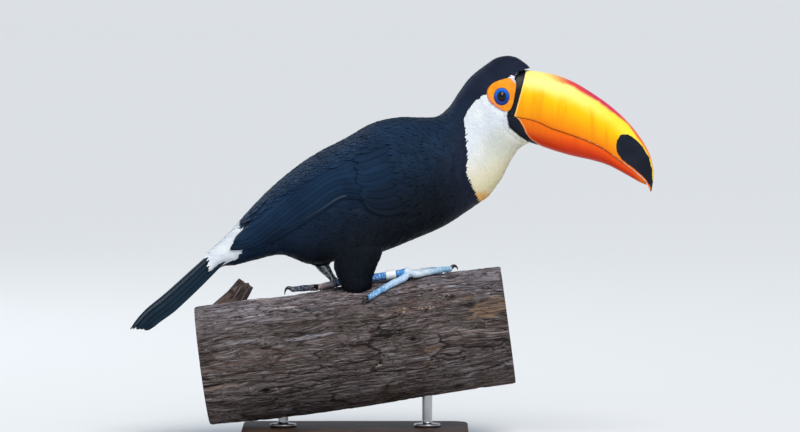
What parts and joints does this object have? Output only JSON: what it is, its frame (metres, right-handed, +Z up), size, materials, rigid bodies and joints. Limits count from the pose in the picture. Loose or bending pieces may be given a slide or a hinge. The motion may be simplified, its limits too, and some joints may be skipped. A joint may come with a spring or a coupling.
{
  "type": "toco toucan on a perch",
  "caption": "Life-size still model of a toco toucan gripping a cut length of branch, carried on two short rods over a flat base.",
  "frame": {"origin": "centre of the stand base's flat underside", "axes": "+X the way the bird faces, +Y its left side, +Z up"},
  "size_m": [0.5088, 0.14, 0.3728],
  "materials": {
    "black_feather": "soft black feathers with a navy blue sheen",
    "white_feather": "short white feathers of the bib, cream towards the breast",
    "red_feather": "red feathers under the tail and at the edge of the bib",
    "bill": "satin horn, yellow to orange to red, with a black base ring and tip spot",
    "face_skin": "bare orange skin round the eye, with a blue ring",
    "eye": "wet dark brown eye",
    "leg_skin": "blue scaly skin with pale edges to the scales",
    "claw": "black horn",
    "leg_band": "plain white band",
    "bark": "weathered grey-brown bark with long fissures",
    "cut_wood": "sawn end grain",
    "base_wood": "dark stained wood, satin varnish",
    "rod_steel": "brushed"
  },
  "bodies": {
    "root": {"head": "black_feather", "neck": "white_feather", "trunk": "black_feather", "tail": "black_feather", "wing_left": "black_feather", "wing_right": "black_feather", "bill_upper": "bill", "bill_lower": "bill", "eye_left": "eye", "eye_right": "eye", "thigh_left": "black_feather", "thigh_right": "black_feather", "shank_left": "leg_skin", "shank_right": "leg_skin", "foot_left": "leg_skin", "foot_right": "leg_skin", "leg_band": "leg_band", "perch": "bark", "stand_base": "base_wood", "stand_rod_rear": "rod_steel", "stand_rod_front": "rod_steel", "claw_left_1": "claw", "claw_left_2": "claw", "claw_left_3": "claw", "claw_left_4": "claw", "claw_right_1": "claw", "claw_right_2": "claw", "claw_right_3": "claw", "claw_right_4": "claw"}
  },
  "joints": []
}
